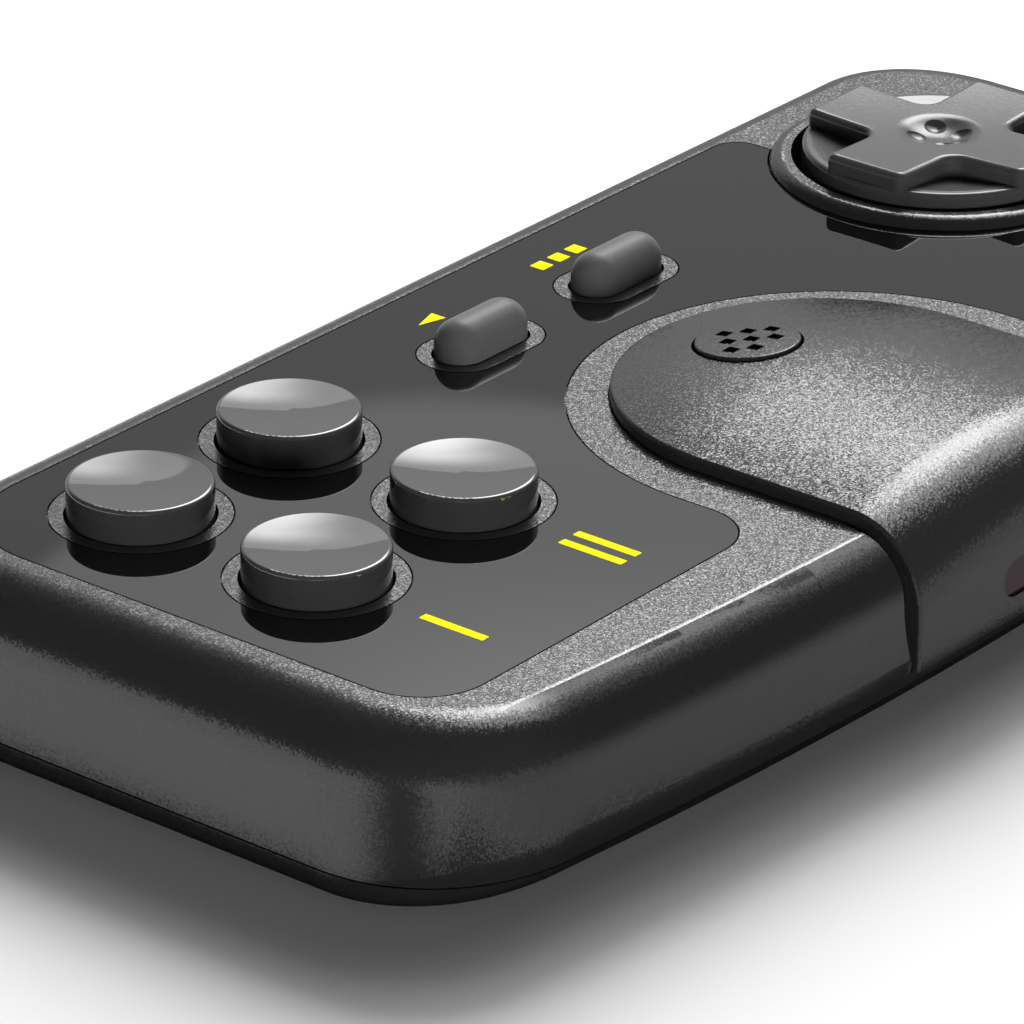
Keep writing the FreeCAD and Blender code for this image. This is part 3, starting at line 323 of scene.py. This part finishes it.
MARK_HEIGHT = 0.02
MARK_CORNER = 0.06
BAR_SIZE = (0.9, 6.3)
BAR_FRONT = 10.35
BAR_ASIDE = 0.95
ONE_BAR_X = 53.5
TWO_BARS_X = 35.1
ARROW = [(7.6, -26.1), (10.4, -25.3), (7.6, -24.5)]
SQUARE_SIZE = (1.5, 1.5)
SQUARE_FRONT = -26.0
SQUARES_X = (-11.4, -9.0, -6.6)


def print_mark(name, outlines, paint):
    """A thin printed layer on the plate. Its corners are cut back a little, as ink draws in."""
    mesh = bmesh.new()
    for outline in outlines:
        corners = [mesh.verts.new((x * MM, y * MM, PLATE_TOP)) for x, y in outline]
        mesh.faces.new(corners)
        bmesh.ops.bevel(mesh, geom=corners, offset=MARK_CORNER * MM, segments=3, affect="VERTICES")
    faces = list(mesh.faces)
    bmesh.ops.recalc_face_normals(mesh, faces=faces)
    raised = bmesh.ops.extrude_face_region(mesh, geom=faces)
    top = [item for item in raised["geom"] if isinstance(item, bmesh.types.BMVert)]
    bmesh.ops.translate(mesh, verts=top, vec=(0, 0, MARK_HEIGHT * MM))
    bmesh.ops.recalc_face_normals(mesh, faces=list(mesh.faces))
    data = bpy.data.meshes.new(name)
    mesh.to_mesh(data)
    mesh.free()
    data.materials.append(paint)
    item = place_object(name, data)
    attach(item, "casing")


def bar(x, y, width, length):
    return [(x - width / 2, y), (x + width / 2, y), (x + width / 2, y + length), (x - width / 2, y + length)]


def add_marks():
    """Yellow bars by the action buttons and plain signs by the pill buttons."""
    paint = plain_plastic("mark_paint", (0.92, 0.86, 0.0), 0.6, level=0.1)
    two_bars = [bar(TWO_BARS_X + side * BAR_ASIDE, BAR_FRONT, *BAR_SIZE) for side in (-1, 1)]
    print_mark("mark_one_bar", [bar(ONE_BAR_X, BAR_FRONT, *BAR_SIZE)], paint)
    print_mark("mark_two_bars", two_bars, paint)
    print_mark("mark_arrow", [ARROW], paint)
    print_mark("mark_squares", [bar(x, SQUARE_FRONT, *SQUARE_SIZE) for x in SQUARES_X], paint)


# Floor, in metres. What the casing's walls mirror of it is a painted reflection, set apart from what the
# camera sees

FLOOR_REACH = 4.0
FLOOR_DROP = 0.02 * MM
FLOOR_GREY = (0.85, 0.85, 0.85, 1)
GRIT_SCALE = 900.0
GRIT_DEPTH = 0.02 * MM
# Painted reflection with painted shade: how the floor glows for glossy rays, by side, near the pad's foot and
# in one dark wedge
REFLECTION_SIDE_BAND = (0.0, 0.06)
REFLECTION_SIDE_LEVELS = (0.36, 0.8)
FOOT_SHADE_BAND = (0.0025, 0.0065)
SHADE_WEDGE_X = 0.05
SHADE_WEDGE_Y = 0.018
SHADE_WEDGE_SLANT = 0.25
SHADE_WEDGE_BAND = (0.05, 0.35)
SHADE_WEDGE_LEVELS = (0.1, 1)
FAR_BAND = (0.28, 0.6)


def painted_floor_reflection(tree):
    """A painted reflection for the walls to mirror: brighter off the pad's end than behind it, with painted
    shade at its foot and in one wedge.
    """
    across = split(tree, object_place(tree))
    level = ramp(tree, maths(tree, "SUBTRACT", across["X"], across["Y"]), REFLECTION_SIDE_BAND, REFLECTION_SIDE_LEVELS)
    past_end = maths(tree, "SUBTRACT", maths(tree, "ABSOLUTE", across["X"]), cad_box[1].x)
    past_back = maths(tree, "SUBTRACT", maths(tree, "ABSOLUTE", across["Y"]), cad_box[1].y)
    start = ramp(tree, maths(tree, "MAXIMUM", past_end, past_back), FOOT_SHADE_BAND)
    over = maths(tree, "SUBTRACT", across["Y"], SHADE_WEDGE_Y)
    along = maths(tree, "SUBTRACT", across["X"], SHADE_WEDGE_X)
    off = maths(tree, "SUBTRACT", maths(tree, "DIVIDE", over, along), SHADE_WEDGE_SLANT)
    return product(tree, level, start, ramp(tree, maths(tree, "ABSOLUTE", off), SHADE_WEDGE_BAND, SHADE_WEDGE_LEVELS))


def floor_material():
    """A pale matt floor that keeps the shadow and turns plain white far out."""
    material = bpy.data.materials.new("floor_white")
    material.use_nodes = True
    tree = material.node_tree
    shader = tree.nodes["Principled BSDF"]
    shader.inputs["Base Color"].default_value = FLOOR_GREY
    shader.inputs["Roughness"].default_value = 1.0
    shader.inputs["Specular IOR Level"].default_value = 0.0
    bump(tree, shader, noise(tree, object_place(tree), GRIT_SCALE), GRIT_DEPTH, FAINT)
    path = add(tree, "ShaderNodeLightPath").outputs
    away = vector_maths(tree, "LENGTH", object_place(tree), output="Value")
    far = product(tree, ramp(tree, away, FAR_BAND), path["Is Camera Ray"])
    white = add(tree, "ShaderNodeEmission", {"Strength": 1.0}).outputs[0]
    seen = add(tree, "ShaderNodeMixShader", {0: far, 1: shader.outputs[0], 2: white}).outputs[0]
    # Glossy rays see only the painted reflection, a glowing floor with painted shade near the pad
    painted_reflection = add(tree, "ShaderNodeEmission", {"Strength": painted_floor_reflection(tree)}).outputs[0]
    both = add(tree, "ShaderNodeMixShader", {0: path["Is Glossy Ray"], 1: seen, 2: painted_reflection}).outputs[0]
    tree.links.new(both, tree.nodes["Material Output"].inputs["Surface"])
    return material


def add_floor():
    mesh = bpy.data.meshes.new("floor")
    signs = [(-1, -1), (1, -1), (1, 1), (-1, 1)]
    corners = [(x * FLOOR_REACH, y * FLOOR_REACH, -FLOOR_DROP) for x, y in signs]
    mesh.from_pydata(corners, [], [(0, 1, 2, 3)])
    mesh.materials.append(floor_material())
    floor = place_object("floor", mesh)


# World: what glossy surfaces mirror. A place is a turn and a rise and a rim is two angles, all in degrees.
# The other bands are heights and cosines of the direction that is looked in

DISC_PLACE = (0.5, 29.6)
DISC_RIM = (5.4, 5.1)
DISC_LEVEL = 0.5
CORE_PLACE = (-13.0, 45.0)
CORE_RIM = (18.0, 7.0)
CORE_LEVEL = 5.0
BODY_RIM = (40.0, 20.0)
BODY_SIDE = (0.075, -0.03)
BODY_FOOT = (0.427, 0.5)
BODY_LEVEL = 2.6
WALL_SPREAD = (0.5, 0.9)
WALL_RISE = (0.1, 0.36)
WALL_FOOT = 0.6
WALL_LEVEL = 0.5
SIDE_LEVEL = 0.065
AMBIENT = 0.015


def towards(turn, rise):
    """A direction given by its turn from straight behind the pad and its rise, in degrees."""
    flat = Matrix.Rotation(math.radians(turn), 3, "Z") @ BEHIND
    rise = math.radians(rise)
    return flat * math.cos(rise) + Vector((0, 0, math.sin(rise)))


def light_world():
    """A dark studio: behind the pad a dim wall and a soft lamp that has a disc, a broad body and a bright
    core. Matt surfaces get only the ambient, and the camera sees white."""
    world = bpy.data.worlds.new("studio")
    bpy.context.scene.world = world
    world.use_nodes = True
    tree = world.node_tree
    way = add(tree, "ShaderNodeTexCoord").outputs["Generated"]
    height = split(tree, way)["Z"]

    def aligned(direction):
        return vector_maths(tree, "DOT_PRODUCT", way, direction, output="Value")

    def round_spot(place, rim, level):
        band = [math.cos(math.radians(angle)) for angle in rim]
        return ramp(tree, aligned(towards(*place)), band, (0, level))

    disc = round_spot(DISC_PLACE, DISC_RIM, DISC_LEVEL)
    core = round_spot(CORE_PLACE, CORE_RIM, CORE_LEVEL)
    side = ramp(tree, aligned(towards(90.0, 0.0)), BODY_SIDE)
    foot = ramp(tree, height, BODY_FOOT)
    body = product(tree, round_spot(CORE_PLACE, BODY_RIM, BODY_LEVEL), side, foot)
    spread = ramp(tree, aligned(BEHIND), WALL_SPREAD, (0, WALL_LEVEL))
    wall = product(tree, spread, ramp(tree, height, WALL_RISE, (WALL_FOOT, 1)))
    path = add(tree, "ShaderNodeLightPath").outputs
    mirrored = maths(tree, "SUBTRACT", 1.0, path["Is Diffuse Ray"])
    lit = total(tree, product(tree, total(tree, disc, core, body, wall, SIDE_LEVEL), mirrored), AMBIENT)
    shown = add(tree, "ShaderNodeMix", {"Factor": path["Is Camera Ray"], "A": lit, "B": 1.0})
    background = tree.nodes["Background"]
    background.inputs["Color"].default_value = (1, 1, 1, 1)
    tree.links.new(shown.outputs["Result"], background.inputs["Strength"])


# Lamps: they light the matt part of every surface. Each has a turn and a rise, a size and a power

LAMP_DISTANCE = 1.2
LAMPS = {
    "key": (-5.0, 32.0, 0.7, 28.0),
    "fill": (-165.0, 3.0, 0.3, 13.0),
    "top": (0.0, 89.0, 1.5, 0.2),
}


def add_lamps():
    """Round soft lamps. Glossy surfaces don't mirror them, because the world gives what they mirror."""
    for name, (turn, rise, size, power) in LAMPS.items():
        data = bpy.data.lights.new(name, "AREA")
        data.shape = "DISK"
        data.size = size
        data.energy = power
        way = towards(turn, rise)
        lamp = place_object(name, data, Matrix.Translation(way * LAMP_DISTANCE) @ facing(-way))
        lamp.visible_glossy = False


bpy.context.scene.view_settings.view_transform = "Standard"
add_camera()
dress_outside()
dress_inside()
add_marks()
add_floor()
light_world()
add_lamps()
